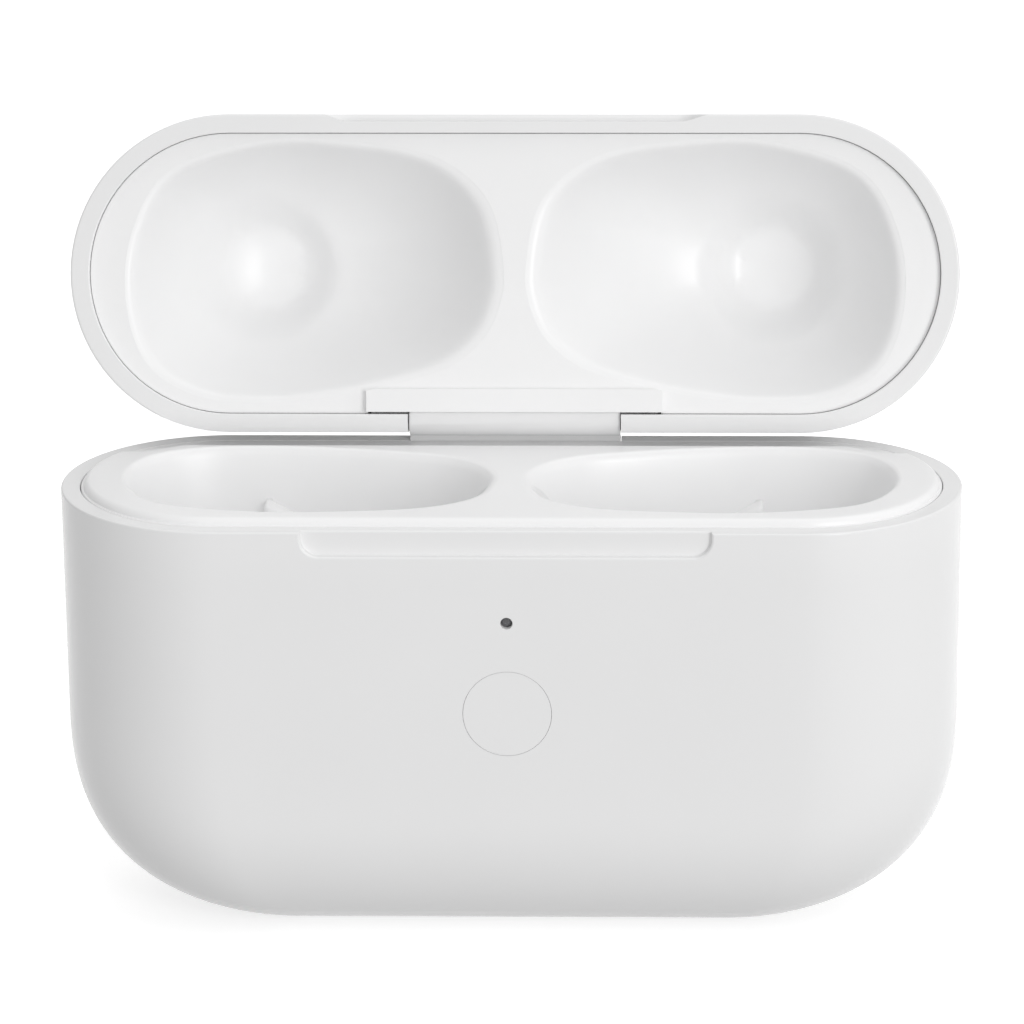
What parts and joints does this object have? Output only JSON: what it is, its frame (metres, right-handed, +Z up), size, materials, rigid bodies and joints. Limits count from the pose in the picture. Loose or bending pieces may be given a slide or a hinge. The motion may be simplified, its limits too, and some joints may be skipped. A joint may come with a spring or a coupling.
{
  "type": "wireless earbuds charging case",
  "caption": "Pill-shaped glossy charging case with a hinged lid standing open, two earbud pockets in the tray and the lid, a finger notch, a status light hole and a pairing button.",
  "frame": {"origin": "centre of the small flat resting face under the body, in the middle of the charge port's mouth", "axes": "+Z up out of the tray, -Y out of the front face with the button, +X to the right seen from the front; the hinge axis is parallel to X behind the tray"},
  "size_m": [0.0606, 0.0367, 0.0519],
  "materials": {
    "shell_white": "polished",
    "inner_white": "polished",
    "light_guide": "translucent",
    "board_green": "solder mask",
    "flex_amber": "film",
    "cell_wrap": "laminated foil",
    "foam_black": "foam",
    "plated_steel": "nickel plated",
    "gold_contact": "gold plated",
    "black_plastic": "moulded",
    "seal_rubber": "silicone",
    "coil_copper": "enamelled wire",
    "ferrite_grey": "sheet",
    "magnet_nickel": "nickel plated"
  },
  "bodies": {
    "case_body": {"body_shell": "shell_white", "body_tray": "inner_white", "main_board": "board_green", "board_screws": "plated_steel", "contact_board": "board_green", "board_flex": "flex_amber", "battery_left": "cell_wrap", "battery_right": "cell_wrap", "battery_foam_left": "foam_black", "battery_foam_right": "foam_black", "battery_flex": "flex_amber", "cell_cradle_left": "inner_white", "cell_cradle_right": "inner_white", "front_stiffener": "plated_steel", "charge_socket": "plated_steel", "socket_tongue": "black_plastic", "socket_seal": "seal_rubber", "charge_coil": "coil_copper", "coil_ferrite": "ferrite_grey", "contact_barrel_1": "gold_contact", "contact_barrel_2": "gold_contact", "contact_barrel_3": "gold_contact", "contact_barrel_4": "gold_contact", "contact_spring_1": "plated_steel", "contact_spring_2": "plated_steel", "contact_spring_3": "plated_steel", "contact_spring_4": "plated_steel", "led_chip": "shell_white", "light_pipe": "light_guide", "switch_body": "black_plastic", "hall_sensor": "black_plastic", "latch_magnet_left": "magnet_nickel", "latch_magnet_right": "magnet_nickel", "bud_magnet_left": "magnet_nickel", "bud_magnet_right": "magnet_nickel", "hinge_barrel": "shell_white", "hinge_body_screws": "plated_steel", "hinge_spring": "plated_steel"},
    "lid": {"lid_shell": "shell_white", "lid_liner": "inner_white", "lid_magnet_left": "magnet_nickel", "lid_magnet_right": "magnet_nickel", "sensor_magnet": "magnet_nickel", "hinge_arm": "plated_steel", "hinge_lid_screws": "plated_steel", "hinge_pin": "plated_steel"},
    "pairing_button": {"button_cap": "shell_white", "switch_plunger": "black_plastic"},
    "pin_1": {"contact_pin_1": "gold_contact"},
    "pin_2": {"contact_pin_2": "gold_contact"},
    "pin_3": {"contact_pin_3": "gold_contact"},
    "pin_4": {"contact_pin_4": "gold_contact"}
  },
  "joints": [
    {"name": "lid_hinge", "type": "hinge", "parent": "case_body", "child": "lid", "pos_m": [0, 0.0094, 0.0318], "axis": [1, 0, 0], "range_deg": [0, 105], "deforming": ["hinge_spring"]},
    {"name": "button_press", "type": "slide", "parent": "case_body", "child": "pairing_button", "axis": [0, 1, 0], "range_m": [0, 0.00025], "stiffness_N_per_m": 2000, "springref_m": -0.00025},
    {"name": "contact_press_1", "type": "slide", "parent": "case_body", "child": "pin_1", "axis": [0, 0, -1], "range_m": [0, 0.0005], "stiffness_N_per_m": 400, "springref_m": -0.0005, "deforming": ["contact_spring_1"]},
    {"name": "contact_press_2", "type": "slide", "parent": "case_body", "child": "pin_2", "axis": [0, 0, -1], "range_m": [0, 0.0005], "stiffness_N_per_m": 400, "springref_m": -0.0005, "deforming": ["contact_spring_2"]},
    {"name": "contact_press_3", "type": "slide", "parent": "case_body", "child": "pin_3", "axis": [0, 0, -1], "range_m": [0, 0.0005], "stiffness_N_per_m": 400, "springref_m": -0.0005, "deforming": ["contact_spring_3"]},
    {"name": "contact_press_4", "type": "slide", "parent": "case_body", "child": "pin_4", "axis": [0, 0, -1], "range_m": [0, 0.0005], "stiffness_N_per_m": 400, "springref_m": -0.0005, "deforming": ["contact_spring_4"]}
  ]
}
